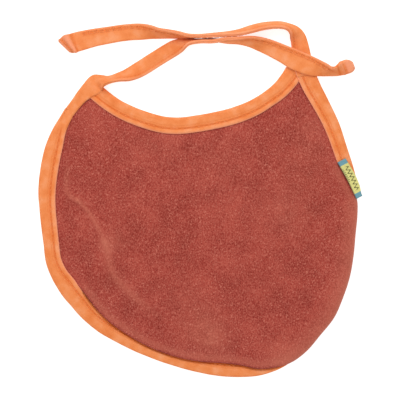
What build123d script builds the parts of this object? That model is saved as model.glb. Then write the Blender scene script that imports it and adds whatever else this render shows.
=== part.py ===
from build123d import *
import os

os.makedirs("parts", exist_ok=True)

# A tie-on baby bib lying flat, front side up. Millimetres, +Z up, the table is Z = 0.
# The origin is under the middle of the whole bib as it lies; the ties point to +Y.

# ---------------------------------------------------------------- driving dimensions
bib_width = 255.0            # side to side
bib_length = 284.0           # lowest edge to the top of the ties
pattern_width = 255.0        # the size that the pattern points below are drawn for
pattern_length = 284.0

binding_width = 13.0         # finished width of the folded jersey strip
binding_ply = 1.0            # one side of the folded strip
back_thickness = 0.8         # backing fabric
film_thickness = 0.3         # waterproof film between the two fabrics
front_thickness = 2.0        # cotton velour with its pile

tie_thickness = 2.4          # the strip folded in four and sewn flat
tie_on_edge = 8.0            # height of a tie where it is turned up on its edge
tie_knob = 6.5               # height of the rolled-up end of the left tie
hem_thickness = 3.6          # tie end turned over once more
hem_length = 16.0

label_length = 32.5
label_thickness = 0.8        # woven tape folded in two
label_show = 5.6             # how far the folded label stands out of its seam

thread = 0.6                 # width of a sewn line
thread_height = 0.3          # how far it stands above the fabric
edge_seam = 9.0              # sewn line, measured in from the outer edge
seam_end_gap = 4.0           # a sewn line stops this far short of a cut end
running_gap = 0.4            # between pieces that move past each other


def at(x, y):
    """A pattern point, graded to the wanted width and length."""
    return (x * bib_width / pattern_width, y * bib_length / pattern_length)


# ---------------------------------------------------------------- levels
back_bottom = binding_ply
film_bottom = back_bottom + back_thickness
front_bottom = film_bottom + film_thickness
front_top = front_bottom + front_thickness
bib_height = front_top + binding_ply
crossing = bib_height + running_gap     # underside of the left tie where it crosses the right tip
over_all = 3 * bib_height               # taller than anything on the bib

# ---------------------------------------------------------------- pattern
# Outer edge: from the left tip down, round the bottom and up to the right tip.
edge_points = [at(-87, 97), at(-128, -4), at(-124.5, -36), at(-87, -100), at(33, -142),
               at(84, -123.5), at(123, -48), at(126, -12), at(108, 69), at(89.5, 113)]
edge_start = at(-76, -65)               # direction of the edge as it leaves the left tip
# Neck edge: from the right tip down and up to the left tip.
neck_points = [at(74, 116), at(37, 77.5), at(-10.5, 66), at(-63, 81), at(-84, 95)]
neck_start = at(-33, -94)


def arc_chain(points, direction):
    """Arcs through the points, each one tangent to the arc before it."""
    arcs = []
    for start, end in zip(points, points[1:]):
        arcs.append(TangentArc(start, end, tangent=direction))
        direction = arcs[-1] % 1


with BuildLine() as outer_edge:
    arc_chain(edge_points, edge_start)

with BuildLine() as neck_edge:
    arc_chain(neck_points, neck_start)

with BuildSketch() as outline:
    with BuildLine():
        add(outer_edge.line)
        Line(edge_points[-1], neck_points[0])
        add(neck_edge.line)
        Line(neck_points[-1], edge_points[0])
    make_face()


def strip(edge, near, far):
    """The part of the outline that lies between two distances from one of its edges."""
    with BuildSketch() as band:
        add(outline.sketch)
        trace(edge.line, line_width=2 * far, mode=Mode.INTERSECT)
        if near > 0:
            trace(edge.line, line_width=2 * near, mode=Mode.SUBTRACT)
    return band.sketch


# Down the right side and the lower right the edge is rolled under, so the velour
# runs out to the fold there and the binding shows on the underside only.
with BuildSketch() as rolled_zone:
    with BuildLine():
        Polyline(at(90, 3), at(150, 3), at(150, -150), at(30, -150), at(30, -128), close=True)
    make_face()

with BuildSketch() as rolled_edge:
    add(outline.sketch)
    add(rolled_zone.sketch, mode=Mode.INTERSECT)

with BuildSketch() as panel_cut:
    add(outline.sketch)
    offset(amount=-binding_ply)
    add(rolled_edge.sketch)

edge_strip = strip(outer_edge, 0, binding_width)

# Tie outlines, seen from above. The ties are one strip with the edge binding; each is
# cut free of it where it starts to lift.
left_root = -68.0                       # the left tie lifts to the right of this line
right_root = 123.6                      # the right tie lifts above this line
left_tie_top = [(left_root, 99.6), (-58, 104.6), (-39, 116.5), (-21, 126), (1, 127.6), (31, 128),
                (51, 127), (73, 121.5), (98, 111.5), (112, 110)]
left_tie_bottom = [(113, 99), (86, 99), (69.5, 106), (59, 112.5), (39, 122), (11, 124.3),
                   (-6.5, 123), (-23, 111.5), (-39, 101.5), (-53, 94.5), (left_root, 94)]
left_tie_end = (124, 105)
right_tie_top = [(87.5, right_root), (79, 135.5), (66, 141.5), (49.5, 141), (25.5, 136), (0, 133),
                 (-17, 134.2), (-39, 138.5), (-66.5, 138.8), (-95, 135.5), (-106, 133.5)]
right_tie_bottom = [(-98, 117), (-86.5, 121), (-66.5, 125.4), (-39, 129.5), (-17, 129.6), (8.5, 130.2),
                    (31, 131.2), (49.5, 134.5), (64.5, 136.5), (72.5, 132.5), (74, right_root)]
right_tie_hem = [(-106, 133.5), (-111, 129), (-103, 117), (-98, 117)]
# The roots of the ties belong to the bib; the right one lies under the left tie.
left_stub = [(-87, 97), (-79, 99), (left_root - running_gap, 99.6), (left_root - running_gap, 94),
             (-76, 86), (-84, 91)]
right_stub = [(89.8, 110), (88, right_root - running_gap), (74, right_root - running_gap), (72, 108)]

with BuildSketch() as left_stub_plan:
    with BuildLine():
        Polyline([at(*p) for p in left_stub], close=True)
    make_face()

with BuildSketch() as right_stub_plan:
    with BuildLine():
        Polyline([at(*p) for p in right_stub], close=True)
    make_face()

with BuildSketch() as left_tie_plan:
    with BuildLine():
        Spline([at(*p) for p in left_tie_top])
        ThreePointArc(at(*left_tie_top[-1]), at(*left_tie_end), at(*left_tie_bottom[0]))
        Spline([at(*p) for p in left_tie_bottom])
        Line(at(*left_tie_bottom[-1]), at(*left_tie_top[0]))
    make_face()

with BuildSketch() as right_tie_plan:
    with BuildLine():
        Spline([at(*p) for p in right_tie_top])
        Polyline([at(*p) for p in right_tie_hem])
        Spline([at(*p) for p in right_tie_bottom])
        Line(at(*right_tie_bottom[-1]), at(*right_tie_top[0]))
    make_face()

# ---------------------------------------------------------------- panels
layers = [("back_panel", back_bottom, back_thickness),
          ("waterproof_film", film_bottom, film_thickness),
          ("front_panel", front_bottom, front_thickness)]

for layer_name, bottom, thickness in layers:
    with BuildPart() as panel:
        with BuildSketch(Plane.XY.offset(bottom)):
            add(panel_cut.sketch)
        extrude(amount=thickness)
    panel.part.label = layer_name
    export_step(panel.part, f"parts/{layer_name}.step")

# ---------------------------------------------------------------- bindings
with BuildPart() as edge_binding:
    with BuildSketch():
        add(edge_strip)
        add(left_stub_plan.sketch)
    extrude(amount=bib_height)
    with BuildSketch():
        add(right_stub_plan.sketch)
    extrude(amount=tie_thickness)
    with BuildSketch(Plane.XY.offset(back_bottom)):
        add(panel_cut.sketch)
    extrude(amount=front_top - back_bottom, mode=Mode.SUBTRACT)
    with BuildSketch(Plane.XY.offset(back_bottom)):
        add(rolled_zone.sketch)
    extrude(amount=over_all, mode=Mode.SUBTRACT)
edge_binding.part.label = "edge_binding"
export_step(edge_binding.part, "parts/edge_binding.step")

with BuildPart() as neck_binding:
    with BuildSketch():
        add(strip(neck_edge, 0, binding_width))
        add(edge_strip, mode=Mode.SUBTRACT)
        add(left_stub_plan.sketch, mode=Mode.SUBTRACT)
        add(right_stub_plan.sketch, mode=Mode.SUBTRACT)
    extrude(amount=bib_height)
    with BuildSketch(Plane.XY.offset(back_bottom)):
        add(panel_cut.sketch)
    extrude(amount=front_top - back_bottom, mode=Mode.SUBTRACT)
neck_binding.part.label = "neck_binding"
export_step(neck_binding.part, "parts/neck_binding.step")


# ---------------------------------------------------------------- ties
def side_outline(low_line, high_line, lift=0.0):
    """Points round the XZ side view of a tie, from its lower and upper line."""
    lower = [(at(x, 0)[0], z) for x, z in low_line]
    upper = [(at(x, 0)[0], z + lift) for x, z in high_line]
    return lower + upper[::-1]


# The left tie leaves the bib on top of its binding, comes down to the table, stands on
# its edge in the middle, climbs over the right tip and ends rolled up on the table.
left_low = [(left_root, bib_height - tie_thickness), (-56, 0), (57, 0), (67, crossing),
            (99, crossing), (108, 0), (130, 0)]
left_high = [(left_root, bib_height), (-54, tie_thickness), (-39, tie_thickness), (-14, tie_on_edge),
             (34, tie_on_edge), (52, tie_thickness), (57, tie_thickness), (66, crossing + tie_thickness),
             (100, crossing + tie_thickness), (107, tie_knob), (130, tie_knob)]
# The right tie turns up on its edge after its fold and lies flat again to its hem.
right_low = [(-115, 0), (95, 0)]
right_high = [(-115, hem_thickness), (-111 + hem_length, hem_thickness), (-109 + hem_length, tie_thickness),
              (-20, tie_thickness), (12, tie_on_edge), (62, tie_on_edge), (74, tie_thickness),
              (95, tie_thickness)]

with BuildPart() as left_tie:
    with BuildSketch():
        add(left_tie_plan.sketch)
    extrude(amount=over_all)
    with BuildSketch(Plane.XZ):
        with BuildLine():
            Polyline(side_outline(left_low, left_high), close=True)
        make_face()
    extrude(amount=bib_length, both=True, mode=Mode.INTERSECT)
left_tie.part.label = "left_tie"
export_step(left_tie.part, "parts/left_tie.step")

with BuildPart() as right_tie:
    with BuildSketch():
        add(right_tie_plan.sketch)
    extrude(amount=over_all)
    with BuildSketch(Plane.XZ):
        with BuildLine():
            Polyline(side_outline(right_low, right_high), close=True)
        make_face()
    extrude(amount=bib_length, both=True, mode=Mode.INTERSECT)
right_tie.part.label = "right_tie"
export_step(right_tie.part, "parts/right_tie.step")

# ---------------------------------------------------------------- label
# Folded woven tape, sewn down along its inner long side and lying over the binding.
label_corner = at(111, 30.5)            # upper end of the sewn side
label_side = Vector(1, 0).rotate(Axis.Z, -64.5)      # direction of the sewn side

with BuildPart() as side_label:
    with BuildSketch(Plane((*label_corner, bib_height), x_dir=label_side)):
        Rectangle(label_length, label_show, align=(Align.MIN, Align.MIN))
    extrude(amount=label_thickness)
side_label.part.label = "side_label"
export_step(side_label.part, "parts/side_label.step")

# ---------------------------------------------------------------- sewn lines
# The edge seam passes under the label, so it is left out there.
label_middle = side_label.part.center()

with BuildPart() as edge_stitching:
    with BuildSketch(Plane.XY.offset(bib_height)):
        add(strip(outer_edge, edge_seam, edge_seam + thread))
        add(rolled_zone.sketch, mode=Mode.SUBTRACT)
        with Locations((label_middle.X, label_middle.Y)):
            Circle(label_length / 2 + seam_end_gap, mode=Mode.SUBTRACT)
    extrude(amount=thread_height)
edge_stitching.part.label = "edge_stitching"
export_step(edge_stitching.part, "parts/edge_stitching.step")

with BuildPart() as neck_stitching:
    with BuildSketch(Plane.XY.offset(bib_height)):
        add(strip(neck_edge, edge_seam, edge_seam + thread))
        add(strip(outer_edge, 0, binding_width + seam_end_gap), mode=Mode.SUBTRACT)
        add(right_stub_plan.sketch, mode=Mode.SUBTRACT)
    extrude(amount=thread_height)
neck_stitching.part.label = "neck_stitching"
export_step(neck_stitching.part, "parts/neck_stitching.step")

# Seams of the ties: where each one runs, seen from above, and the top that it lies on.
tie_seams = [
    ("left_tie_stitching", left_high,
     [(-66, 97.2), (-57, 99.7), (-39, 109), (-21, 119.5), (1, 125.8), (31, 125.5), (51, 121.5),
      (73, 112.8), (98, 105), (104, 104.6)]),
    ("left_tie_hem_stitching", left_high, [(110.5, 101), (110, 105), (110.5, 109)]),
    ("right_tie_stitching", right_high,
     [(80, 125.5), (76, 134), (65.5, 139), (49.5, 137.8), (25.5, 133.4), (0, 131.5), (-17, 131.9),
      (-39, 134), (-66.5, 132), (-90, 128)]),
    ("right_tie_hem_stitching", right_high, [(-98.5, 132), (-98, 126), (-97, 120)]),
]

for seam_name, top_line, route in tie_seams:
    with BuildPart() as seam:
        with BuildSketch():
            with BuildLine():
                Spline([at(*p) for p in route])
            trace(line_width=thread)
        extrude(amount=over_all)
        with BuildSketch(Plane.XZ):
            with BuildLine():
                Polyline(side_outline(top_line, top_line, thread_height), close=True)
            make_face()
        extrude(amount=bib_length, both=True, mode=Mode.INTERSECT)
    seam.part.label = seam_name
    export_step(seam.part, f"parts/{seam_name}.step")
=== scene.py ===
import bpy
import bmesh
import math
import numpy as np
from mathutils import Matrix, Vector, noise
from mathutils.geometry import delaunay_2d_cdt


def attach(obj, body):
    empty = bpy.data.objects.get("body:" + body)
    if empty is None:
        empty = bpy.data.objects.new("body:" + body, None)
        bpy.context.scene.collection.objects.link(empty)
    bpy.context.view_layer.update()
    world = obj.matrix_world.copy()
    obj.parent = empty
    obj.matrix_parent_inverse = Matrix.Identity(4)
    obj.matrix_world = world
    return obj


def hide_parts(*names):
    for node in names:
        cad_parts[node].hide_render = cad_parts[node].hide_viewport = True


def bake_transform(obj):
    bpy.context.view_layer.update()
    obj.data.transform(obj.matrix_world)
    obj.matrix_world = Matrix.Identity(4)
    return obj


# a tie-on baby bib of velour with a jersey binding, lying on white paper
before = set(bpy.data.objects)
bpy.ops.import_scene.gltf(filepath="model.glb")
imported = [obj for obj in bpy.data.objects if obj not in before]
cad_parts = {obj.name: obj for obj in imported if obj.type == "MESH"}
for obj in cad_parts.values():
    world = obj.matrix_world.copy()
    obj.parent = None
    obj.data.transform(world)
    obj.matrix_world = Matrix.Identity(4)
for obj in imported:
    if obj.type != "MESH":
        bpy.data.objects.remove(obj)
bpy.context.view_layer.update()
bpy.ops.object.select_all(action="DESELECT")
mm = 0.001
print("frame loaded:", len(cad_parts), "nodes")

# The pattern is in mm, as it lies on the table.
# Outer edge from the left tip, down and round to the right tip:
# x, y, width of the binding, how far in the velour's edge lies, height of the binding,
# and 1 where the velour lies on top of the binding, 0 where it is tucked in under the lip.
edgePoints = [
    (-107, 73, 8.8, 6.8, 5.1, 0), (-110.7, 66.6, 9.2, 7.2, 5.1, 0), (-115.7, 58.6, 10.8, 8.8, 5.1, 0),
    (-121, 47.4, 13.4, 11.4, 5.1, 0), (-124.8, 34.8, 14.3, 12.3, 5.1, 0), (-127.4, 20, 14.4, 12.4, 5.1, 0),
    (-128.4, 6, 14, 12, 5.1, 0), (-127.4, -9, 13.2, 11.2, 5.1, 0), (-126, -22, 13, 11, 5.1, 0),
    (-124.2, -36, 12.6, 10.6, 5.1, 0), (-122.4, -50, 12.8, 10.8, 5.1, 0), (-118, -62, 13.6, 11.8, 4.9, 0),
    (-112.5, -71.8, 15.2, 14, 4.7, 0), (-108, -78.4, 15.4, 15.2, 4.4, 0.5), (-102.5, -85, 15.2, 14.8, 4, 1),
    (-93, -95.4, 14.4, 13.6, 3.4, 1), (-80, -106, 13.6, 11.6, 2.9, 1), (-62, -116.2, 13.4, 9.4, 2.6, 1),
    (-42.4, -125.2, 13.4, 7.7, 2.6, 1), (-20, -133, 13.4, 7.4, 2.6, 1), (0, -138.4, 13.4, 9, 2.6, 1),
    (18, -141.3, 13.4, 10.6, 2.6, 1), (34, -142, 13.4, 9.4, 2.6, 1), (47, -141, 13.4, 5.8, 2.6, 1),
    (60, -137.4, 13.4, 3, 2.6, 1), (74, -131.8, 13.4, 1.5, 2.5, 1), (86, -122, 13.4, 0.5, 2.4, 1),
    (97, -108.6, 13.4, 0.1, 2.4, 1), (108, -94.6, 13.4, 0, 2.4, 1), (115, -79, 13.4, 0, 2.4, 1),
    (120.6, -62, 13.4, 0, 2.4, 1), (123.6, -45, 13.4, 0, 2.4, 1), (125.2, -28, 13.4, 0, 2.4, 1),
    (126.7, -12, 13.4, 0, 2.4, 1), (127.3, 0, 13.4, 1, 2.4, 1), (126.8, 8, 12.6, 4.4, 2.5, 1),
    (125.6, 17, 11.4, 7.4, 2.5, 1), (123.4, 26, 11.2, 9.6, 2.8, 1), (121.4, 32.5, 11.4, 11, 4.4, 0.3),
    (118.4, 41.2, 11.6, 9.6, 5.1, 0), (114.4, 54, 12.2, 10.2, 5.1, 0), (109.6, 66.8, 13, 11, 5.2, 0),
    (103.2, 79.6, 13.6, 11.6, 5.4, 0), (96.8, 92.4, 14.6, 12.6, 5.8, 0), (92.4, 103, 15.2, 13.2, 6, 0),
    (90.4, 109, 15.4, 13.4, 6, 0),
]
# Neck edge from the right tip to the left tip, in the same columns.
neckPoints = [
    (76, 119, 15.5, 13.5, 4.2), (73.4, 114, 15.5, 13.5, 4.2), (70.2, 107, 15.2, 13.2, 4.4),
    (65, 98.8, 14.6, 12.6, 4.9), (59, 91.6, 13.8, 11.8, 5.1), (52, 86, 13.2, 11.2, 5.1),
    (41.6, 79.6, 13.4, 11.4, 5.1),
    (26.4, 73.4, 13.4, 11.4, 5.1), (10, 69.4, 13.4, 11.4, 5.1), (-6, 66.6, 13.4, 11.4, 5.1),
    (-18, 65.6, 13.4, 11.4, 5.1), (-30, 66.8, 13.4, 11.4, 5.1), (-49.6, 73, 13.4, 11.4, 5.1),
    (-61.6, 78.8, 13.4, 11.4, 4.9), (-70, 84.4, 13.4, 11.4, 4.4), (-77, 90, 13.4, 11.4, 4.2),
    (-84, 95.6, 13.4, 11.4, 4.2),
]
# The ties along their middles, from the bib to their ends:
# x, y, gap under the strap, roll about its own run in degrees, width, thickness.
# At roll 0 a strap lies flat with its sewn lips on the side that they have on the bib.
leftTiePoints = [
    (-105.3, 67.2, 0.1, 0, 8.2, 4.6), (-103.6, 69.6, 0, 0, 8.7, 4.95), (-101.7, 72.2, 0, 0, 8.9, 5.2),
    (-97.8, 77.1, 0, 0, 9.1, 5.4), (-93.7, 82, 0, 0, 10.2, 5.8), (-88.8, 86.8, 0, 0, 12.6, 6),
    (-84.2, 90.5, 0, 0, 15.2, 5.8), (-81.4, 92.8, 0.2, 6, 15.4, 4.8), (-77.6, 94.4, 1, 40, 13, 3.4),
    (-72, 95.4, 1, 62, 12, 2.7), (-63.4, 97.8, 0.3, 54, 12, 2.4), (-56.6, 99.6, 0, 36, 12.6, 2.4),
    (-47.2, 104.2, 0, 12, 13, 2.4), (-36, 111.2, 0, 0, 13, 2.4), (-25, 118, 0, 2, 13, 2.4),
    (-16.8, 122.4, 0, 26, 13, 2.4), (-9.2, 125.3, 0, 66, 13, 2.6),
    (0, 126.2, 0, 79, 13, 2.8), (11.2, 126.5, 0, 79, 13, 3), (22.4, 126.6, 0, 99, 13, 3),
    (32, 126.5, 0, 106, 13, 2.8), (42.4, 125.5, 0, 128, 13, 2.5), (54, 122, 1, 156, 13, 2.4),
    (65.6, 116.8, 4.2, 172, 14.2, 2.4), (77.6, 110.8, 6.1, 178, 16, 2.4), (88.4, 106.4, 6.3, 176, 15.6, 2.4),
    (98.4, 103.6, 3.6, 150, 12.6, 2.4), (105, 102, 0.8, 120, 12.2, 2.5), (109.4, 102.2, 0, 122, 11.8, 2.8),
    (112.8, 103.6, 0, 138, 11.6, 3.4), (115.8, 104.9, 0, 156, 11.4, 4.4), (119.8, 106.3, 0, 168, 11.6, 5.2),
    (123.8, 107.4, 0, 172, 11.8, 4.8),
]
rightTiePoints = [
    (85.9, 99.4, 0, 0, 15.5, 6.1), (84.1, 105.2, 0, 0, 15.5, 6.1), (82.6, 110.9, 0, 0, 15.4, 5.4),
    (81.6, 116.6, 0, 0, 15, 3.8), (80.7, 123, 0, 0, 13.8, 2.4), (79.2, 129, 0, 10, 13, 2.4),
    (76.4, 134, 0, 42, 13, 2.6), (71.6, 137.4, 0, 64, 13, 2.6), (65.6, 139, 0, 66, 13, 2.7),
    (58.4, 139, 0, 66, 13, 2.7), (49.4, 137.8, 0, 64, 13, 2.7), (40.8, 135.6, 0, 64, 13, 2.7),
    (32, 133.2, 0, 70, 13, 2.7), (22.4, 132, 0, 77, 13, 2.8), (11.2, 131, 0, 81, 13, 3),
    (0, 130.2, 0, 86, 13, 3), (-8.8, 130, 0, 93, 13, 2.8), (-16.8, 131, 0, 104, 13, 2.8),
    (-24.8, 131.8, 0, 113, 13, 2.6), (-32.8, 132.4, 0, 124, 13, 2.4), (-39.2, 133.4, 0, 142, 13, 2.4),
    (-48.8, 134, 0, 168, 13.2, 2.4), (-59.2, 133.3, 0, 180, 13.4, 2.4), (-71.2, 131.5, 0, 182, 13.6, 2.4),
    (-83.2, 129.4, 0, 182, 14.4, 2.4), (-92.6, 127.2, 0, 180, 15.4, 2.5), (-98.4, 125.7, 0, 178, 15.6, 2.6),
    (-103, 124, 0, 176, 16, 3), (-108, 121.8, 0, 174, 15.8, 2.8),
]


def smoothLine(points, step):
    # even stations on a centripetal Catmull-Rom line, with every other column carried along
    p = np.array(points, float)
    p = np.vstack([2 * p[0] - p[1], p, 2 * p[-1] - p[-2]])
    gaps = np.sqrt(np.linalg.norm(np.diff(p[:, :2], axis=0), axis=1))
    k = np.concatenate([[0], np.cumsum(gaps)])
    rows = []
    for i in range(1, len(p) - 2):
        for t in np.linspace(k[i], k[i + 1], 24, endpoint=False):
            a = [p[j] + (p[j + 1] - p[j]) * (t - k[j]) / (k[j + 1] - k[j]) for j in (i - 1, i, i + 1)]
            b = [a[j] + (a[j + 1] - a[j]) * (t - k[i - 1 + j]) / (k[i + 1 + j] - k[i - 1 + j])
                 for j in (0, 1)]
            rows.append(b[0] + (b[1] - b[0]) * (t - k[i]) / (k[i + 1] - k[i]))
    rows = np.array(rows + [p[-2]])
    run = np.concatenate([[0], np.cumsum(np.linalg.norm(np.diff(rows[:, :2], axis=0), axis=1))])
    places = np.linspace(0, run[-1], int(run[-1] / step) + 1)
    return np.stack([np.interp(places, run, column) for column in rows.T], axis=1), places


def leftOf(line):
    # unit normals on the left-hand side of the run
    along = np.gradient(line[:, :2], axis=0)
    along /= np.linalg.norm(along, axis=1)[:, None]
    return np.stack([-along[:, 1], along[:, 0]], axis=1)


def ease(x):
    x = np.clip(x, 0, 1)
    return x * x * (3 - 2 * x)


def hill(x):
    return np.exp(-np.square(x))


def hexColour(text):
    # sRGB hex to linear
    values = [int(text[i:i + 2], 16) / 255 for i in (1, 3, 5)]
    return [v / 12.92 if v <= 0.04045 else ((v + 0.055) / 1.055) ** 2.4 for v in values] + [1]


def addNode(material, kind, values=None, stops=(), **settings):
    # a socket among the values is linked, anything else is set on the node's own input
    node = material.node_tree.nodes.new("ShaderNode" + kind)
    for key, value in settings.items():
        setattr(node, key, value)
    for key, value in (values or {}).items():
        if isinstance(value, bpy.types.NodeSocket):
            material.node_tree.links.new(value, node.inputs[key])
        else:
            node.inputs[key].default_value = value
    if stops:
        while len(node.color_ramp.elements) < len(stops):
            node.color_ramp.elements.new(0.5)
        for element, (place, colour) in zip(node.color_ramp.elements, stops):
            element.position = place
            element.color = hexColour(colour) if isinstance(colour, str) else (colour, colour, colour, 1)
    return node


def newMaterial(name, values):
    material = bpy.data.materials.new(name)
    material.use_nodes = True
    shader = material.node_tree.nodes["Principled BSDF"]
    for key, value in values.items():
        shader.inputs[key].default_value = value
    return material, shader


def stripes(material, place, pitch):
    # a sine wave along one coordinate, one turn per pitch in mm
    turns = addNode(material, "Math", {0: place, 1: 2 * math.pi / (pitch * mm)}, operation="MULTIPLY")
    return addNode(material, "Math", {0: turns.outputs[0]}, operation="SINE").outputs[0]


def layered(material, colour, layers):
    # tints laid over a colour one after another, each by its own amount
    for blend, amount, tint in layers:
        colour = addNode(material, "Mix", {0: amount, 6: colour, 7: hexColour(tint)}, data_type="RGBA",
                         blend_type=blend).outputs[2]
    return colour


def finishMaterial(material, shader, colour, height, strength, depth):
    # colour and fine relief go into the shader; the relief's depth is in mm
    relief = addNode(material, "Bump", {"Strength": strength, "Distance": depth * mm, "Height": height})
    material.node_tree.links.new(colour, shader.inputs["Base Color"])
    material.node_tree.links.new(relief.outputs["Normal"], shader.inputs["Normal"])
    return material


velourLook = {      # sizes in mm
    "shade": "#8c2d24", "body": "#9b382e", "light": "#ac473a", "brushed": "#c56f5a", "speck": "#d6816e",
    # edge is the colour of a painted shadow line along the velour's free edge
    "between": "#9c8480", "edge": "#5c1d18", "sheen": "#e8a79a", "grainSize": 0.8, "speckSize": 1.5,
    "mottleSize": 19, "walePitch": 2.1, "waleAmount": 0.05, "pileHeight": 0.5,
}
jerseyLook = {
    # seam is the colour of painted shade in the stitched grooves, the hems' creases and under the velour's
    # overhanging edge; paleHighlight is a painted highlight on the lips and also pales the hem ends
    "body": "#ee8e53", "deep": "#e68043", "pale": "#f29e6c", "seam": "#dd6c2a", "paleHighlight": "#f8a27c",
    "between": "#e2b39a", "sheen": "#ffd2b0", "waleDrawn": 1.3, "mottleSize": 9, "grainSize": 0.7,
    "waleHeight": 0.12,
}


def velourMaterial(look):
    # cotton velour: a knit with a sheared looped pile, matt and deep in colour, paler where it is brushed;
    # the edge colour is a painted shadow line along the free edge, where the velour overhangs the binding;
    # its pile tips are 0.2 mm and its wales 0.9 mm apart, both drawn coarser so that they show
    material, shader = newMaterial("cottonVelour", {
        "Roughness": 0.96, "Specular IOR Level": 0.15, "Sheen Weight": 0.25, "Sheen Roughness": 0.55,
        "Sheen Tint": hexColour(look["sheen"])})
    place = addNode(material, "TexCoord").outputs["Object"]
    upright = addNode(material, "Mapping", {"Vector": place, "Scale": (1, 0.6, 1)}).outputs["Vector"]
    mottle = addNode(material, "TexNoise", {"Vector": place, "Scale": 1000 / look["mottleSize"],
                                            "Detail": 4.0, "Roughness": 0.62}).outputs["Fac"]
    grain = addNode(material, "TexNoise", {"Vector": upright, "Scale": 1000 / look["grainSize"],
                                           "Detail": 1.0, "Roughness": 0.7}).outputs["Fac"]
    speck = addNode(material, "TexNoise", {"Vector": place, "Scale": 1000 / look["speckSize"],
                                           "Detail": 1.0}).outputs["Fac"]
    colour = addNode(material, "ValToRGB", {"Fac": mottle}, [
        (0.32, look["shade"]), (0.5, look["body"]), (0.72, look["light"])]).outputs["Color"]
    tips, gaps, specks = [addNode(material, "ValToRGB", {"Fac": mask}, stops).outputs["Color"]
                          for mask, stops in ((grain, [(0.42, 0.0), (0.8, 0.5)]),
                                              (grain, [(0.25, 0.5), (0.45, 0.0)]),
                                              (speck, [(0.6, 0.0), (0.74, 0.6)]))]
    across = addNode(material, "SeparateXYZ", {"Vector": place}).outputs["X"]
    wale = stripes(material, across, look["walePitch"])
    waleLight = addNode(material, "Math", {0: wale, 1: look["waleAmount"], 2: look["waleAmount"]},
                        operation="MULTIPLY_ADD").outputs[0]
    napAndPaintedLight = addNode(material, "Attribute", attribute_name="napAndPaintedLight").outputs["Fac"]
    # painted shadow: negative values darken the free edge towards the edge colour
    shadow = addNode(material, "Math", {0: napAndPaintedLight, 1: -1.0}, operation="MULTIPLY").outputs[0]
    colour = layered(material, colour, [
        ("MIX", tips, look["speck"]), ("MULTIPLY", gaps, look["between"]), ("MIX", specks, look["speck"]),
        ("MIX", waleLight, look["light"]), ("MIX", napAndPaintedLight, look["brushed"]), ("MIX", shadow, look["edge"])])
    height = addNode(material, "Math", {0: wale, 1: 0.06, 2: grain}, operation="MULTIPLY_ADD").outputs[0]
    return finishMaterial(material, shader, colour, height, 0.7, look["pileHeight"])


def jerseyMaterial(look):
    # cotton jersey cut on the bias: smooth fine knit, matt, with painted shade in its stitched grooves
    # and under the velour's overhanging edge, and a painted highlight along its lips;
    # its real wales are 0.6 mm apart, drawn coarser so that they show
    material, shader = newMaterial("cottonJersey", {
        "Roughness": 0.85, "Specular IOR Level": 0.2, "Sheen Weight": 0.15, "Sheen Roughness": 0.5,
        "Sheen Tint": hexColour(look["sheen"])})
    cloth = addNode(material, "UVMap", uv_map="cloth").outputs["UV"]
    mottle = addNode(material, "TexNoise", {"Vector": cloth, "Scale": 1000 / look["mottleSize"],
                                            "Detail": 3.0}).outputs["Fac"]
    grain = addNode(material, "TexNoise", {"Vector": cloth, "Scale": 1000 / look["grainSize"],
                                           "Detail": 1.0}).outputs["Fac"]
    colour = addNode(material, "ValToRGB", {"Fac": mottle}, [
        (0.3, look["deep"]), (0.5, look["body"]), (0.72, look["pale"])]).outputs["Color"]
    gaps = addNode(material, "ValToRGB", {"Fac": grain}, [(0.35, 0.18), (0.6, 0.0)]).outputs["Color"]
    napAndPaintedLight = addNode(material, "Attribute", attribute_name="napAndPaintedLight").outputs["Fac"]
    paleHighlight = addNode(material, "Math", {0: napAndPaintedLight, 1: -1.0}, operation="MULTIPLY").outputs[0]
    colour = layered(material, colour, [
        ("MIX", napAndPaintedLight, look["seam"]), ("MIX", paleHighlight, look["paleHighlight"]), ("MULTIPLY", gaps, look["between"])])
    split = addNode(material, "SeparateXYZ", {"Vector": cloth}).outputs
    slant = addNode(material, "Math", {0: split["X"], 1: split["Y"]}, operation="ADD").outputs[0]
    wale = stripes(material, slant, look["waleDrawn"])
    height = addNode(material, "Math", {0: wale, 1: 0.25, 2: grain}, operation="MULTIPLY_ADD").outputs[0]
    return finishMaterial(material, shader, colour, height, 0.5, look["waleHeight"])


velour = velourMaterial(velourLook)
jersey = jerseyMaterial(jerseyLook)


studio = {
    "floorSize": 4, "paper": "#c4c4c4", "paperGlow": 0.75, "roomLight": 0.55,
    "cameraHeight": 1.6, "lookAt": (0.8, -0.4), "lens": 180, "sensor": 36,
    # softboxes: name, place in m, size in m, power in W
    "lamps": [("topSoftbox", (0, 0.75, 0.9), 0.9, 7.5), ("fillSoftbox", (-0.5, -0.5, 1.2), 1.2, 4.5)],
}


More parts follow.
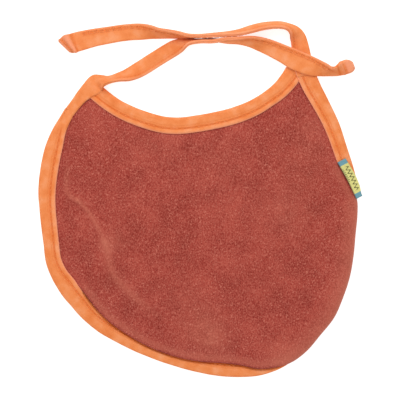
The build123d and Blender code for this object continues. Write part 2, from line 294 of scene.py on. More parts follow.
def buildStudio(s):
    # white paper under a backlight: matt, with no shine, and bright enough that shadows hardly show
    paper, _ = newMaterial("whitePaper", {"Base Color": hexColour(s["paper"]), "Roughness": 0.9,
                                          "Emission Color": hexColour("#ffffff"),
                                          "Emission Strength": s["paperGlow"]})
    bpy.ops.mesh.primitive_plane_add(size=s["floorSize"], location=(0, 0, 0))
    floor = bpy.context.object
    floor.name = "paperFloor"
    floor.data.materials.append(paper)
    floor.data.transform(floor.matrix_world)
    world = bpy.data.worlds.new("softRoom")
    world.use_nodes = True
    background = world.node_tree.nodes["Background"]
    background.inputs["Color"].default_value = hexColour("#ffffff")
    background.inputs["Strength"].default_value = s["roomLight"]
    bpy.context.scene.world = world
    for name, place, size, power in s["lamps"]:
        bpy.ops.object.light_add(type="AREA", location=place)
        lamp = bpy.context.object
        lamp.name = name
        lamp.data.size = size
        lamp.data.energy = power
        lamp.rotation_euler = (-Vector(place)).to_track_quat("-Z", "Y").to_euler()
    bpy.ops.object.camera_add(location=(s["lookAt"][0] * mm, s["lookAt"][1] * mm, s["cameraHeight"]),
                              rotation=(0, 0, 0))
    camera = bpy.context.object
    camera.name = "studioCamera"
    camera.data.sensor_width = s["sensor"]
    camera.data.lens = s["lens"]
    bpy.context.scene.camera = camera
    bpy.context.scene.view_settings.view_transform = "Standard"
    bpy.ops.object.select_all(action="DESELECT")


buildStudio(studio)
print("studio ready")


def makePiece(name, vertices, faces, material, uvs=None, napAndPaintedLight=None):
    # a smooth mesh object from points in mm, with its cloth map in metres and its nap and painted light value
    # at each point
    vertices = np.array(vertices, dtype=float)
    vertices[:, 2] = np.maximum(vertices[:, 2], 0.02)      # nothing dips below the table
    mesh = bpy.data.meshes.new(name)
    mesh.from_pydata((vertices * mm).tolist(), [], faces)
    if uvs is not None:
        layer = mesh.uv_layers.new(name="cloth")
        corners = np.empty(len(mesh.loops), dtype=np.int32)
        mesh.loops.foreach_get("vertex_index", corners)
        layer.data.foreach_set("uv", (uvs[corners] * mm).ravel())
    if napAndPaintedLight is not None:
        mesh.attributes.new("napAndPaintedLight", "FLOAT", "POINT").data.foreach_set("value", napAndPaintedLight)
    bm = bmesh.new()
    bm.from_mesh(mesh)
    bmesh.ops.recalc_face_normals(bm, faces=bm.faces)
    bm.to_mesh(mesh)
    bm.free()
    mesh.polygons.foreach_set("use_smooth", [True] * len(mesh.polygons))
    mesh.materials.append(material)
    piece = bpy.data.objects.new(name, mesh)
    bpy.context.collection.objects.link(piece)
    return piece


# folded strips make the bindings, the ties and the label; sizes in mm
strip = {"ply": 0.8, "lipRise": 0.25, "lipFall": 0.45, "crown": 0.3, "foldRadius": 2.3, "seamDepth": 0.55,
         "seamWidth": 0.8, "rowGap": 1.9, "pressDepth": 1.2, "stitchPitch": 3, "thread": 0.5}
unpressed = -9      # a place off the strip, for strips that nothing lies on


def stripSection(width, height, seam, seamAt, shut, pressed):
    # closed outline of a strip folded in two: u runs from the fold to the two lips, v is up;
    # shut is 1 where the two plies are sewn face to face, 0 where they hold the panel between them;
    # pressed is the place across the strip that the velour's edge presses down
    ply = min(strip["ply"], height * 0.44) * (1 - shut) + height * 0.475 * shut
    bend = min(height / 2, strip["foldRadius"])
    turn = np.linspace(-math.pi / 2, math.pi / 2, 11)
    second = seamAt + strip["rowGap"]
    u = np.concatenate([np.linspace(bend, width - second - 1.2, 9)[1:],
                        width - second + np.linspace(-1, 0.9, 6),
                        width - seamAt + np.linspace(-1, 1.2, 7),
                        width - (seamAt - 1.2) * np.array([0.84, 0.6, 0.36, 0.16, 0.04])])
    crown = strip["crown"] * np.sin(np.pi * np.clip(u / width, 0, 1))
    dip = seam * strip["seamDepth"] * (hill((u - width + seamAt) / strip["seamWidth"])
                                       + 0.5 * hill((u - width + second) / strip["seamWidth"]))
    bead = strip["lipRise"] * hill((u - width + 1.4) / 1.2) - strip["lipFall"] * ease((u - width + 0.9) / 0.9)
    dip = dip + strip["pressDepth"] * hill((u - pressed) / 1.1)
    top = np.stack([u, height + (crown - dip + bead) * min(1, height / 2.4)], axis=1)
    under = np.stack([u[::-1], (0.5 * dip[::-1] + 0.25 * ease((u[::-1] - width + 0.9) / 0.9))], axis=1)
    fold = np.stack([bend - bend * np.cos(turn), height / 2 + height / 2 * np.sin(turn)], axis=1)
    innerTurn = np.linspace(math.pi / 2, -math.pi / 2, 7)
    slot = height / 2 - ply
    inner = np.stack([bend - (bend - ply) * np.cos(innerTurn), height / 2 + slot * np.sin(innerTurn)], axis=1)
    uIn = u[::2]
    topIn = np.stack([uIn[::-1], np.interp(uIn[::-1], u, top[:, 1]) - ply], axis=1)
    underIn = np.stack([uIn, np.minimum(ply + 0.5 * np.interp(uIn, u, dip), topIn[::-1, 1] - 0.05)], axis=1)
    topEnd = [(width, top[-1, 1] - 0.25 * ply), (width, top[-1, 1] - 0.7 * ply)]
    underEnd = [(width, under[0, 1] + 0.7 * ply), (width, under[0, 1] + 0.3 * ply)]
    return np.vstack([under, fold, top, topEnd, topIn, inner, underIn, underEnd])


def foldMiddle(section):
    return int(section[:, 0].argmin())      # the cloth's own crease, where its map starts


def stripMesh(name, line, inward, base, roll, width, height, material, seam=None, seamAt=4.2, shut=None,
              pressed=None, lipShade=0, hemPaleAndCreaseShade=None, wave=0.25):
    # line is the strip's middle, inward its way from fold to lips, base the gap under it;
    # returns the piece and what its stitches need
    count = len(line)
    run = np.concatenate([[0], np.cumsum(np.linalg.norm(np.diff(line[:, :2], axis=0), axis=1))])
    seam = np.ones(count) if seam is None else seam
    shut = np.zeros(count) if shut is None else shut
    pressed = np.full(count, unpressed) if pressed is None else pressed
    hemPaleAndCreaseShade = np.zeros(count) if hemPaleAndCreaseShade is None else hemPaleAndCreaseShade
    along = np.gradient(line[:, :2], axis=0)
    along /= np.linalg.norm(along, axis=1)[:, None]
    vertices, uvs, napAndPaintedLight, frames = [], [], [], []
    for i in range(count):
        section = stripSection(width[i], height[i], seam[i], seamAt, shut[i], pressed[i])
        c, s = math.cos(roll[i]), math.sin(roll[i])
        across = np.array([inward[i, 0] * c, inward[i, 1] * c, s])
        up = np.array([-inward[i, 0] * s, -inward[i, 1] * s, c])
        middle = np.array([line[i, 0], line[i, 1], base[i] + (width[i] * abs(s) + height[i] * abs(c)) / 2])
        u, v = section[:, 0] - width[i] / 2, section[:, 1] - height[i] / 2
        ripple = wave * noise.noise(Vector((run[i] / 14, 3.1, len(name)))) + 0.4 * wave * noise.noise(
            Vector((run[i] / 4.5, 9.7, len(name))))
        v = v * (1 + 0.5 * ripple / max(height[i], 2.4))                      # soft cloth is never quite even
        u = u + np.where(section[:, 0] < width[i] / 2, ripple * 0.8, 0)
        ring = middle + u[:, None] * across + v[:, None] * up
        vertices.append(ring)
        girth = np.concatenate([[0], np.cumsum(np.linalg.norm(np.diff(section, axis=0), axis=1))])
        uvs.append(np.stack([np.full(len(section), run[i]), girth - girth[foldMiddle(section)]], axis=1))
        fromLip = width[i] - section[:, 0]
        second = fromLip - seamAt - strip["rowGap"]
        # painted shade in the two stitched grooves, a painted highlight at the lips (negative), a painted
        # shadow where the velour's edge overhangs and presses on the binding, the label's painted edge shadow
        # (lipShade), and the hem's paling and crease shade
        napAndPaintedLight.append(seam[i] * (0.9 * hill((fromLip - seamAt) / 0.8) + 0.35 * hill(second / 0.7)
                              - 0.8 * hill((fromLip - 0.3) / 0.7)) + hill((section[:, 0] - pressed[i]) / 0.9)
                   + lipShade * hill(fromLip / 0.6) - hemPaleAndCreaseShade[i])
        frames.append((middle, across, up, np.array([along[i, 0], along[i, 1], 0])))
    size = len(vertices[0])
    faces = [(i * size + j, i * size + (j + 1) % size, (i + 1) * size + (j + 1) % size, (i + 1) * size + j)
             for i in range(count - 1) for j in range(size)]
    faces += [tuple(range(size)), tuple(range((count - 1) * size, count * size))[::-1]]
    piece = makePiece(name, np.vstack(vertices), faces, material, np.vstack(uvs), np.concatenate(napAndPaintedLight))
    return piece, {"run": run, "frames": frames, "width": width, "height": height, "seamAt": seamAt}


def stitchShape():
    # one capsule-like stitch along x, from -1 to 1 and 1 in radius
    sides, rings = 6, ((-0.86, 0.7), (-0.4, 1.0), (0.4, 1.0), (0.86, 0.7))
    points = [(-1, 0, 0)]
    for place, thick in rings:
        points += [(place, thick * math.cos(a), thick * math.sin(a))
                   for a in np.linspace(0, 2 * math.pi, sides, endpoint=False)]
    tail = len(points)
    points.append((1, 0, 0))
    faces = []
    for k in range(sides):
        n = (k + 1) % sides
        faces += [(0, 1 + n, 1 + k), (tail, tail - sides + k, tail - sides + n)]
        for a in range(1, 1 + sides * (len(rings) - 1), sides):
            faces.append((a + k, a + n, a + sides + n, a + sides + k))
    return np.array(points), faces


def stitchRow(name, rows, material):
    # rows are (middle, along, up, length); the stitch is shaped once and copied to each
    shape, shapeFaces = stitchShape()
    radius = strip["thread"] / 2
    vertices, faces = [], []
    for middle, along, up, length in rows:
        start = len(vertices) * len(shape)
        axes = np.array([along * length / 2, np.cross(along, up) * radius, up * radius])
        vertices.append(middle + shape @ axes)
        faces += [tuple(start + i for i in face) for face in shapeFaces]
    return makePiece(name, np.vstack(vertices), faces, material)


def seamStitches(info, first, last, face=1, shown=None, second=False):
    # places of the stitches along a strip's seam, on its upper (1) or lower (-1) face
    rows = []
    pitch = strip["stitchPitch"]
    back = strip["rowGap"] if second else 0
    for place in np.arange(first + back / 2, last, pitch):
        i = int(np.searchsorted(info["run"], place))
        if i < 1 or i >= len(info["run"]) or (shown is not None and not shown[i]):
            continue
        middle, across, up, along = info["frames"][i]
        u = info["width"][i] / 2 - info["seamAt"] - back
        depth = info["height"][i] / 2 - (0.12 if face > 0 else 0.05)
        rows.append((middle + across * u + up * face * depth, along, up * face, pitch * 0.82))
    return rows


# the two bindings; lengths in mm, the tuck as a share of the section
binding = {"step": 2, "rollUnder": 4, "seamStart": 12, "neckLift": 0.85, "tuckLength": 5, "tuckShare": 0.02}
edgeLine, edgeRun = smoothLine(edgePoints, binding["step"])
neckLine, neckRun = smoothLine(neckPoints, binding["step"])
edgeIn, neckIn = leftOf(edgeLine), leftOf(neckLine)


def tuck(run):
    # a strip's ends drawn in a little, so that the ties close over them
    fromEnd = np.minimum(run, run[-1] - run)
    return 1 - binding["tuckShare"] * (1 - ease(fromEnd / binding["tuckLength"]))


def buildBindings():
    drawnIn = tuck(edgeRun)
    width, height = edgeLine[:, 2] * drawnIn, edgeLine[:, 4] * drawnIn
    rolledIn = ease((3 - edgeLine[:, 3]) / 3) * binding["rollUnder"]      # the velour is rolled round it
    pressed = np.where(edgeLine[:, 5] > 0.9, edgeLine[:, 3] - rolledIn - 0.2, unpressed)
    inset = rolledIn + edgeLine[:, 2] * (1 - drawnIn) / 2
    middle = edgeLine[:, :2] + edgeIn * (inset + width / 2)[:, None]
    base = edgeLine[:, 4] * (1 - drawnIn) / 2
    edge, edgeInfo = stripMesh("outerBinding", middle, edgeIn, base, np.zeros(len(edgeLine)), width, height,
                               jersey, seam=ease((edgeRun - binding["seamStart"]) / 8), pressed=pressed)
    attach(edge, "bib")
    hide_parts("edge_binding")

    base = binding["neckLift"] * ease((4.9 - neckLine[:, 4]) / 0.7)      # raised where it is thin
    middle = neckLine[:, :2] + neckIn * (neckLine[:, 2] / 2)[:, None]
    neck, neckInfo = stripMesh("neckEdgeBinding", middle, neckIn, base, np.zeros(len(neckLine)),
                               neckLine[:, 2], neckLine[:, 4], jersey)
    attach(neck, "bib")
    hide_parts("neck_binding")
    return edgeInfo, neckInfo


edgeInfo, neckInfo = buildBindings()
print("bindings done")


tie = {"step": 1.2, "seamAt": 2.6, "seamShare": 0.6, "openLength": 30, "skewLength": 12}      # lengths in mm


def hemShape(run, hem):
    # a doubled end: rounded tip, a stitched groove and a ridge, by distance from the strap's end
    e = run[-1] - run
    step, ridge = ease((hem["length"] - e) / hem["step"]), hill((e - hem["ridge"]) / 1.8)
    groove = hill((e - hem["groove"]) / 0.9)
    tip = np.sqrt(np.clip(1 - np.square(np.clip(1 - e / hem["tip"], 0, 1)), 0.05, 1))
    thickness = (1 + hem["bulge"] * step * (0.8 + 0.7 * ridge - 1.1 * groove)) * (0.3 + 0.7 * tip)
    spread = (1 + step * (0.08 * ridge - 0.02 * groove)) * (hem["blunt"] + (1 - hem["blunt"]) * tip)
    crease = hill((e - hem["length"] - 0.6) / 0.7) + groove
    # the last value pales the doubled end and darkens its fold crease and stitched groove as painted shade
    return thickness, spread, 0.75 * step - 0.9 * crease


def buildTie(name, points, side, hem, seamStart, replaced):
    line, run = smoothLine(points, tie["step"])
    thickness, spread, pale = hemShape(run, hem)
    inward = leftOf(line) * side
    skew = math.radians(hem["skew"]) * (1 - ease((run[-1] - run) / tie["skewLength"]))      # not cut square
    inward = np.column_stack([inward[:, 0] * np.cos(skew) - inward[:, 1] * np.sin(skew),
                              inward[:, 0] * np.sin(skew) + inward[:, 1] * np.cos(skew)])
    seam = ease((run - seamStart) / 10) * (1 - ease((run - run[-1] + 18) / 3))
    strap, info = stripMesh(name, line, inward, line[:, 2], np.radians(line[:, 3]), line[:, 4] * spread,
                            line[:, 5] * thickness, jersey, seam=tie["seamShare"] * seam,
                            seamAt=tie["seamAt"], shut=ease((run - tie["openLength"]) / 12), hemPaleAndCreaseShade=pale)
    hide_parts(replaced)
    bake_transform(strap)
    return info


# points where each strap and its thread bend between the bib and the lifting tie, in m; here they only mark
# the stitching to be baked in place rather than attached
leftBend = ((-0.078, 0.097, 0.003), (-0.058, 0.097, 0.003))
rightBend = ((0.086, 0.112, 0.003), (0.074, 0.128, 0.003))
# lengths in mm back from the tie's end, and its skew in degrees
leftHem = {"length": 12.5, "step": 5, "ridge": 10.4, "groove": 8, "tip": 6.5, "blunt": 0.3, "bulge": 0.4,
           "skew": 6}
rightHem = {"length": 8.4, "step": 1.4, "ridge": 5.6, "groove": 2.8, "tip": 2.2, "blunt": 0.7, "bulge": 0.8,
            "skew": 22}
leftInfo = buildTie("leftStrap", leftTiePoints, -1, leftHem, 45, "left_tie")
rightInfo = buildTie("rightStrap", rightTiePoints, 1, rightHem, 4, "right_tie")
print("ties done")


def crossing(a, b):
    # first place where polyline a meets polyline b: index on a, index on b, point
    for i in range(len(a) - 1):
        p, r = a[i], a[i + 1] - a[i]
        q, s = b[:-1], b[1:] - b[:-1]
        cross = r[0] * s[:, 1] - r[1] * s[:, 0]
        cross[np.abs(cross) < 1e-9] = 1e-9
        t = ((q[:, 0] - p[0]) * s[:, 1] - (q[:, 1] - p[1]) * s[:, 0]) / cross
        w = ((q[:, 0] - p[0]) * r[1] - (q[:, 1] - p[1]) * r[0]) / cross
        hit = np.where((t >= 0) & (t <= 1) & (w >= 0) & (w <= 1))[0]
        if len(hit):
            return i, int(hit[0]), p + t[hit[0]] * r
    raise ValueError("the two edges do not meet")


def longer(line, reach):
    # the polyline with both ends carried straight on
    first = line[0] + (line[0] - line[3]) / np.linalg.norm(line[0] - line[3]) * reach
    last = line[-1] + (line[-1] - line[-4]) / np.linalg.norm(line[-1] - line[-4]) * reach
    return np.vstack([first, line, last])


def panelOutline(edgeInset, neckInset):
    # closed outline, anticlockwise, with each point's place on the edge line (-1 on the neck)
    outer = longer(edgeLine[:, :2] + edgeIn * edgeInset[:, None], 30)
    neck = longer(neckLine[:, :2] + neckIn * neckInset[:, None], 30)
    i, j, leftCorner = crossing(outer, neck)
    k, m, rightCorner = crossing(outer[::-1], neck)
    k = len(outer) - 1 - k
    points = np.vstack([leftCorner, outer[i + 1:k], rightCorner, neck[m + 1:j + 1]])
    places = np.concatenate([[i], np.arange(i + 1, k), [k], np.full(j - m, -1)]) - 1
    return points, np.clip(places, -1, len(edgeLine) - 1).astype(int)


def evenLoop(points, values, step):
    loop = np.vstack([points, points[:1]])
    run = np.concatenate([[0], np.cumsum(np.linalg.norm(np.diff(loop, axis=0), axis=1))])
    places = np.linspace(0, run[-1], int(run[-1] / step), endpoint=False)
    values = np.vstack([values, values[:1]])
    return (np.stack([np.interp(places, run, loop[:, k]) for k in (0, 1)], axis=1),
            np.stack([np.interp(places, run, column) for column in values.T], axis=1))


def layerPoints(outline, rings, grid):
    # outline, rings inside it and a staggered grid, as flat points, with the triangles between them
    along = np.roll(outline, -1, axis=0) - np.roll(outline, 1, axis=0)
    along /= np.linalg.norm(along, axis=1)[:, None]
    inward = np.stack([-along[:, 1], along[:, 0]], axis=1)
    inner = [outline + inward * r for r in rings]
    lo, hi = outline.min(axis=0), outline.max(axis=0)
    xs, ys = np.arange(lo[0], hi[0], grid), np.arange(lo[1], hi[1], grid * 0.866)
    field = np.array([(x + (row % 2) * grid / 2, y) for row, y in enumerate(ys) for x in xs])
    extra = np.vstack(inner + [field])
    d, _ = nearest(extra, outline)
    inside = insideLoop(extra, outline)
    reach = np.concatenate([np.repeat(rings, len(outline)) * 0.9,
                            np.full(len(field), rings[-1] + grid * 0.6)])
    keep = inside & (d >= reach)
    flat = np.vstack([outline, extra[keep]])
    loop = [(i, (i + 1) % len(outline)) for i in range(len(outline))]
    found, _, faces, _, _, _ = delaunay_2d_cdt([Vector(p) for p in flat], loop, [], 1, 1e-5)
    return np.array([tuple(p) for p in found]), faces


def nearest(points, outline):
    # distance to the closed outline, and the outline point that it is nearest to
    ends = np.roll(outline, -1, axis=0)
    run = ends - outline
    square = (run * run).sum(axis=1)
    distance, index = np.empty(len(points)), np.empty(len(points), int)
    for first in range(0, len(points), 2000):
        p = points[first:first + 2000, None, :]
        t = np.clip(((p - outline) * run).sum(axis=2) / square, 0, 1)
        gap = np.linalg.norm(p - (outline + t[..., None] * run), axis=2)
        index[first:first + 2000] = gap.argmin(axis=1)
        distance[first:first + 2000] = gap.min(axis=1)
    return distance, index


def insideLoop(points, outline):
    x, y = points[:, 0], points[:, 1]
    result = np.zeros(len(points), bool)
    for (ax, ay), (bx, by) in zip(outline, np.roll(outline, -1, axis=0)):
        hit = (ay > y) != (by > y)
        if ay != by:
            result ^= hit & (x < (bx - ax) * (y - ay) / (by - ay) + ax)
    return result


def closedSheet(name, flat, faces, rim, top, bottom, material, napAndPaintedLight=None):
    # two skins over the same flat points, joined round the rim (the first points, in order)
    count = len(flat)
    upper = np.column_stack([flat, top])
    lower = np.column_stack([flat, bottom])
    skin = [tuple(f) for f in faces] + [tuple(i + count for i in reversed(f)) for f in faces]
    side = [((i + 1) % rim, i, i + count, (i + 1) % rim + count) for i in range(rim)]
    values = None if napAndPaintedLight is None else np.concatenate([napAndPaintedLight, napAndPaintedLight * 0.3])
    return makePiece(name, np.vstack([upper, lower]), skin + side, material,
                     uvs=np.vstack([flat, flat]), napAndPaintedLight=values)


def outlineArea(points):
    x, y = points[:, 0], points[:, 1]
    return abs((x * np.roll(y, -1) - y * np.roll(x, -1)).sum()) / 2 * mm * mm


def bumps(points, size, seed):
    return np.array([noise.noise(Vector((x / size, y / size, seed))) for x, y in points])


def awayFrom(points, path):
    # distance from each point to the nearest station of a path
    return np.min(np.linalg.norm(points[:, None, :] - path[None, :, :2], axis=2), axis=1)


front = {      # sizes in mm
    "grid": 1.75, "rings": np.array([0.35, 0.8, 1.4, 2.2, 3.2]), "thickness": 2,
    "tuckedTop": 3.85, "middleTop": 4.75, "overRise": 2.3, "rolledTop": 6,
    # how the velour swells between its edges: size, height and seed of each set of bumps
    "rimStep": 1.6, "swells": [(42, 0.9, 1.7), (15, 0.35, 5.2), (5, 0.12, 8.8)],
    # the velour is pressed down where the label is sewn on: points along it, depth and reach
    "underLabel": [(111, 29), (118.4, 15), (125.4, 0)], "pressDepth": 0.6, "pressReach": 4,
    # soft ridges left by folding: points along the ridge, height, half width, how brushed the pile is
    "creases": [
        ([(-97, -0.6), (-101, 1.5), (-105.2, 6), (-105.4, 20), (-104.8, 40)], 1, 3.2, 0.4),
        ([(-97, -0.4), (-88.4, -9.4), (-83.8, -16.5), (-78.6, -26.5), (-74.5, -36), (-72.4, -46)],
         1.2, 2.4, 0.62),
        ([(-75.4, -34), (-73, -42), (-71.2, -52), (-67.4, -61), (-59.4, -70), (-30, -96)], 1.2, 4.6, 0.4),
        ([(-118, -46), (-104, -60), (-92, -76), (-72, -93)], 0.7, 5, 0.12),
    ],
    # patches where the pile lies the other way: x, y, radius, amount
    "brushed": [(4, -104, 16, 0.4), (12, -112, 9, 0.3), (66, -126, 12, 0.35), (70, -10, 18, 0.22),
                (-70, -34, 9, 0.35), (92, 58, 14, 0.2), (-30, 48, 22, 0.12), (-10, -80, 14, 0.12),
                (86, 30, 20, 0.14), (20, 30, 24, 0.1)],
}


def buildVelour(f):
    outline, places = panelOutline(edgeLine[:, 3], neckLine[:, 3])
    free = np.where(places >= 0, edgeLine[places, 5], 0)
    rolled = free * ease((3 - edgeLine[places, 3]) / 2.4)
    seat = np.where(places >= 0, edgeLine[places, 4], 5)      # what the velour lies on
    rim, zone = evenLoop(outline, np.column_stack([free, rolled, seat]), f["rimStep"])
    flat, faces = layerPoints(rim, f["rings"], f["grid"])
    d, index = nearest(flat, rim)
    d[:len(rim)] = 0
    free, rolled, seat = zone[index].T

    # the top skin is blended from a tucked edge, an edge lying over the binding and a rolled one
    radius = 1.7 + 2.1 * rolled
    drop = radius * (1 - np.sqrt(np.clip(1 - np.square(np.clip(1 - d / radius, 0, 1)), 0, 1)))
    tucked = f["tuckedTop"] + (f["middleTop"] - f["tuckedTop"]) * ease((d - 2) / 8)
    overTop = seat + f["overRise"]
    over = overTop + (f["middleTop"] - overTop) * ease((d - 3) / 14) - drop
    roll = f["rolledTop"] + (f["middleTop"] - f["rolledTop"]) * ease((d - 6) / 16) - drop * 1.15
    top = tucked * (1 - free) + (over * (1 - rolled) + roll * rolled) * free
    top += ease((d - 2) / 14) * sum(height * bumps(flat, size, seed) for size, height, seed in f["swells"])
    napAndPaintedLight = np.zeros(len(flat))
    for ridge, height, half, brushed in f["creases"]:
        path, _ = smoothLine(ridge, 3)
        away = awayFrom(flat, path)
        fade = ease(np.linalg.norm(flat - path[-1, :2], axis=1) / 30) * ease((d - 1) / 5)
        top += height * hill(away / half) * fade
        napAndPaintedLight += brushed * hill(away / (half * 0.7)) * fade
    sewn, _ = smoothLine(f["underLabel"], 3)
    top -= f["pressDepth"] * hill(awayFrom(flat, sewn) / f["pressReach"])
    for x, y, reach, amount in f["brushed"]:
        away = np.hypot(flat[:, 0] - x, flat[:, 1] - y)
        napAndPaintedLight += amount * hill(away / reach) * (0.75 + 0.5 * bumps(flat, 9, x))
    # paler over the rolled rim and in a band inside the free edge; the negative term right at the free edge
    # is a painted shadow line of the overhang
    napAndPaintedLight += rolled * (0.75 * hill(d / 2.5) + 0.34 * hill((d - 5) / 7))
    napAndPaintedLight += free * (1 - rolled) * (0.36 * hill((d - 4) / 2.8) - 0.4 * hill(d / 0.8))
    # the lower skin: level under the middle, over the binding at its edge, drawn under where it is rolled
    flatBottom = top - f["thickness"]
    rolledUnder = 0.7 + 2.0 * ease((d - 2.6) / 2)
    low = rolledUnder + (flatBottom - rolledUnder) * ease((d - 16) / 8)
    bottom = (flatBottom * (1 - free) + free * (1 - rolled) * np.maximum(flatBottom, seat + 0.25)
              + free * rolled * low)
    bottom = np.minimum(bottom, top - 0.35)
    piece = closedSheet("velourFront", flat, faces, len(rim), top, bottom, velour, np.clip(napAndPaintedLight, -0.8, 0.9))
    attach(piece, "bib")
    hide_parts("front_panel")
    return piece, outlineArea(rim)


# film and backing: how far in their edge lies, mesh steps, sag, and each one's height and thickness, in mm
under = {"inset": 10.5, "rimStep": 3, "ring": 1.5, "grid": 4, "sag": 0.6, "swell": 0.12,
         "backing": (0.86, 0.5), "film": (1.42, 0.14)}


def buildUnderLayers(u):
    # the waterproof film and the backing under the velour, held in the bindings' folds
    edgeInset = u["inset"] + ease((3 - edgeLine[:, 3]) / 3) * binding["rollUnder"]
    outline, _ = panelOutline(edgeInset, np.full(len(neckLine), u["inset"]))
    rim, _ = evenLoop(outline, np.zeros((len(outline), 1)), u["rimStep"])
    flat, faces = layerPoints(rim, np.array([u["ring"]]), u["grid"])
    d, _ = nearest(flat, rim)
    sag = u["sag"] * ease((d - 4) / 12)
    soft = u["swell"] * bumps(flat, 30, 2.2) * ease(d / 12)
    layers = (("backing", "back_panel", "backing", u["backing"], backingCloth),
              ("barrierFilm", "waterproof_film", "film", u["film"], filmSkin))
    for name, node, slot, (low, thick), material in layers:
        bottom = low - sag + soft
        piece = closedSheet(name, flat, faces, len(rim), bottom + thick, bottom, material)
        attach(piece, "bib")
        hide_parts(node)


def weaveMaterial(name, colours, pitch, values, depth):
    # flat cloth or film drawn from its own thread pitch in mm
    material, shader = newMaterial(name, values)
    place = addNode(material, "TexCoord").outputs["Object"]
    split = addNode(material, "SeparateXYZ", {"Vector": place}).outputs
    warp, weft = stripes(material, split["X"], pitch), stripes(material, split["Y"], pitch)
    cross = addNode(material, "Math", {0: warp, 1: weft}, operation="MULTIPLY").outputs[0]
    cross = addNode(material, "Math", {0: cross, 1: 0.5, 2: 0.5}, operation="MULTIPLY_ADD").outputs[0]
    patch = addNode(material, "TexNoise", {"Vector": place, "Scale": 60.0, "Detail": 3.0}).outputs["Fac"]
    colour = addNode(material, "ValToRGB", {"Fac": patch}, [
        (0.3, colours[0]), (0.7, colours[1])]).outputs["Color"]
    hollows = addNode(material, "Math", {0: cross, 1: 0.2}, operation="MULTIPLY").outputs[0]
    colour = layered(material, colour, [("MULTIPLY", hollows, "#b9aaa4")])
    return finishMaterial(material, shader, colour, cross, 0.5, depth)


# cotton jersey backing: flat, matt, the same rust as the velour's ground; wales 0.6 mm apart, drawn coarser
backingCloth = weaveMaterial("cottonBacking", ("#a8493c", "#b4574a"), 1.4,
                             {"Roughness": 0.9, "Specular IOR Level": 0.2, "Sheen Weight": 0.2}, 0.1)
# polyurethane film: thin, milky, faintly glossy, with a soft embossed grid
filmSkin = weaveMaterial("polyurethaneFilm", ("#e9e6e0", "#f2efe9"), 4.0,
                         {"Roughness": 0.35, "Specular IOR Level": 0.5, "Coat Weight": 0.15}, 0.03)
buildUnderLayers(under)
velourFront, velourArea = buildVelour(front)
print("panel layers done")


threadLook = {"dark": "#e57a37", "light": "#f49a5c", "twist": 0.67, "relief": 0.08}      # sizes in mm


def threadMaterial(look):
    # spun polyester sewing thread: slightly glossy, two plies twisted round each other
    material, shader = newMaterial("polyesterThread", {"Roughness": 0.55, "Specular IOR Level": 0.4})
    place = addNode(material, "TexCoord").outputs["Object"]
    twist = addNode(material, "TexNoise", {"Vector": place, "Scale": 1000 / look["twist"],
                                           "Detail": 1.0}).outputs["Fac"]
    colour = addNode(material, "ValToRGB", {"Fac": twist}, [
        (0.35, look["dark"]), (0.65, look["light"])]).outputs["Color"]
    return finishMaterial(material, shader, colour, twist, 0.5, look["relief"])


thread = threadMaterial(threadLook)


def seamPiece(name, rows, node, body=None, blend=None):
    piece = stitchRow(name, rows, thread)
    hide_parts(node)
    if blend:
        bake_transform(piece)
    else:
        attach(piece, body)


# lengths in mm: a row across each tie's end, and rungs with two legs under the ties
stitching = {"proud": 0.1, "hemInset": 1.6, "hemPitch": 2.4, "hemLength": 2, "rungPitch": 1.6,
             "rungLength": 2.1, "legOffset": 1.1, "legLength": 1.4}


def hemStitches(info, back):
    # a row straight across the strap's doubled end, on both faces
    i = int(np.searchsorted(info["run"], info["run"][-1] - back))
    middle, across, up, _ = info["frames"][i]
    half = info["width"][i] / 2 - stitching["hemInset"]
    out = info["height"][i] / 2 + stitching["proud"]
    return [(middle + across * u + up * face * out, across, up * face, stitching["hemLength"])
            for u in np.arange(-half + 1, half, stitching["hemPitch"]) for face in (1, -1)]


def ladderStitches(info, first, last, face):
    # the underside of a cover stitch: short rungs between two rows
    rows = []
    for place in np.arange(first, last, stitching["rungPitch"]):
        i = int(np.searchsorted(info["run"], place))
        middle, across, up, along = info["frames"][i]
        u = info["width"][i] / 2 - info["seamAt"]
        seat = middle + across * u + up * face * (info["height"][i] / 2 + stitching["proud"])
        rows.append((seat, across, up * face, stitching["rungLength"]))
        rows += [(seat + across * side * stitching["legOffset"], along, up * face, stitching["legLength"])
                 for side in (-1, 1)]
    return rows


lipShown = edgeLine[:, 2] - edgeLine[:, 3] < 3.4
seamPiece("edgeTopstitch", seamStitches(edgeInfo, 20, edgeRun[-1] - 5, 1, lipShown)
          + seamStitches(edgeInfo, 20, edgeRun[-1] - 5, 1, lipShown, True)
          + seamStitches(edgeInfo, 5, edgeRun[-1] - 5, -1), "edge_stitching", "bib")
seamPiece("neckTopstitch", seamStitches(neckInfo, 12, neckRun[-1] - 16, 1)
          + seamStitches(neckInfo, 12, neckRun[-1] - 16, 1, second=True)
          + seamStitches(neckInfo, 12, neckRun[-1] - 16, -1), "neck_stitching", "bib")
leftEnd, rightEnd = leftInfo["run"][-1], rightInfo["run"][-1]
seamPiece("leftStrapStitch", seamStitches(leftInfo, 52, leftEnd - 17, 1)
          + seamStitches(leftInfo, 3, leftEnd - 90, -1)
          + ladderStitches(leftInfo, leftEnd - 88, leftEnd - 18, -1),
          "left_tie_stitching", "left_tie", leftBend)
seamPiece("rightStrapStitch", seamStitches(rightInfo, 3, rightEnd - 17, 1)
          + ladderStitches(rightInfo, 30, rightEnd - 18, -1), "right_tie_stitching", "right_tie", rightBend)
seamPiece("leftHemStitch", hemStitches(leftInfo, leftHem["groove"]),
          "left_tie_hem_stitching", "left_tie")
seamPiece("rightHemStitch", hemStitches(rightInfo, rightHem["groove"]),
          "right_tie_hem_stitching", "right_tie")
print("stitching done")


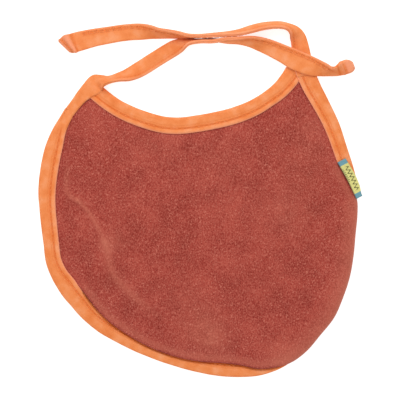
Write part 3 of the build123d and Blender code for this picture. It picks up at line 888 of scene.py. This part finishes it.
label = {      # sizes in mm, tilts in degrees from the upper end to the lower one
    "sewnStart": (110.1, 29.4), "sewnEnd": (125.2, 0.3), "bow": 0.6, "widths": (7.6, 7.8, 8, 7.3, 5.2),
    "tilts": (3, 11, 13, 6, 2), "thickness": 0.65, "base": 5.45, "lift": 0.6, "stations": 45,
    # edge is the label's dark woven edge, deepened by a painted shadow of its raised lip
    "ends": "#6898a4", "ground": "#d6cf7e", "pattern": "#4a4b1c", "edge": "#4c3128",
    "band": 4, "wavePitch": 3.1, "waveSwing": 1.3, "waveBand": (2.6, 4.2), "dashPitch": 1.6,
    "dashBand": (6.3, 7.3), "dashRun": (7, 18), "weave": 0.45, "relief": 0.06,
}


def labelMaterial(look, length):
    # damask woven polyester tape: crisp flat colours, satin sheen, cross ribs 0.2 mm apart, drawn coarser
    material, shader = newMaterial("wovenPolyesterTape", {"Roughness": 0.6, "Specular IOR Level": 0.35,
                                                          "Sheen Weight": 0.1})
    cloth = addNode(material, "UVMap", uv_map="cloth").outputs["UV"]
    split = addNode(material, "SeparateXYZ", {"Vector": cloth}).outputs
    run, girth = split["X"], split["Y"]

    def allOf(*amounts):
        product = amounts[0]
        for amount in amounts[1:]:
            product = addNode(material, "Math", {0: product, 1: amount}, operation="MULTIPLY").outputs[0]
        return product

    def within(socket, low, high):
        return allOf(addNode(material, "Math", {0: socket, 1: low * mm}, operation="GREATER_THAN").outputs[0],
                     addNode(material, "Math", {0: socket, 1: high * mm}, operation="LESS_THAN").outputs[0])

    # a border of plain waves and dashes, woven in dark thread between the end bands
    middle = within(run, look["band"], length - look["band"])
    wave = stripes(material, run, look["wavePitch"])
    swing = addNode(material, "Math", {0: wave, 1: look["waveSwing"] * mm, 2: girth},
                    operation="MULTIPLY_ADD").outputs[0]
    waves = allOf(within(swing, *look["waveBand"]),
                  within(run, look["band"] + 2, length - look["band"] - 2.2))
    dash = addNode(material, "Math", {0: stripes(material, run, look["dashPitch"]), 1: -0.1},
                   operation="GREATER_THAN").outputs[0]
    dashes = allOf(within(girth, *look["dashBand"]), dash, within(run, *look["dashRun"]))
    dark = addNode(material, "Math", {0: waves, 1: dashes}, operation="MAXIMUM").outputs[0]
    # the dark woven edge along the lips, with a painted shadow of the raised lip in the same mark
    edge = addNode(material, "Attribute", attribute_name="napAndPaintedLight").outputs["Fac"]
    colour = layered(material, hexColour(look["ends"]), [
        ("MIX", middle, look["ground"]), ("MIX", allOf(dark, 0.85), look["pattern"]),
        ("MIX", edge, look["edge"])])
    rib = stripes(material, run, look["weave"])
    return finishMaterial(material, shader, colour, rib, 0.4, look["relief"])


def buildLabel(look):
    first, last = np.array(look["sewnStart"]), np.array(look["sewnEnd"])
    length = float(np.linalg.norm(last - first))
    count = look["stations"]
    share = np.linspace(0, 1, count)
    outward = np.array([first[1] - last[1], last[0] - first[0]]) / length
    width = np.interp(share, np.linspace(0, 1, len(look["widths"])), look["widths"])
    line = first + (last - first) * share[:, None]
    line += outward * (width / 2 + look["bow"] * np.sin(np.pi * share))[:, None]
    tilt = np.radians(np.interp(share, np.linspace(0, 1, len(look["tilts"])), look["tilts"]))
    base = look["base"] + look["lift"] * ease((share - 0.6) / 0.3) - width * np.sin(tilt)
    inward = np.tile(-outward, (count, 1))
    piece, _ = stripMesh("wovenLabel", line, inward, base, tilt, width, np.full(count, look["thickness"]),
                         labelMaterial(look, length), seam=np.zeros(count), seamAt=2.6,
                         shut=np.full(count, 0.8), lipShade=0.9, wave=0.05)
    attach(piece, "label")
    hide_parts("side_label")


buildLabel(label)
print("label done")
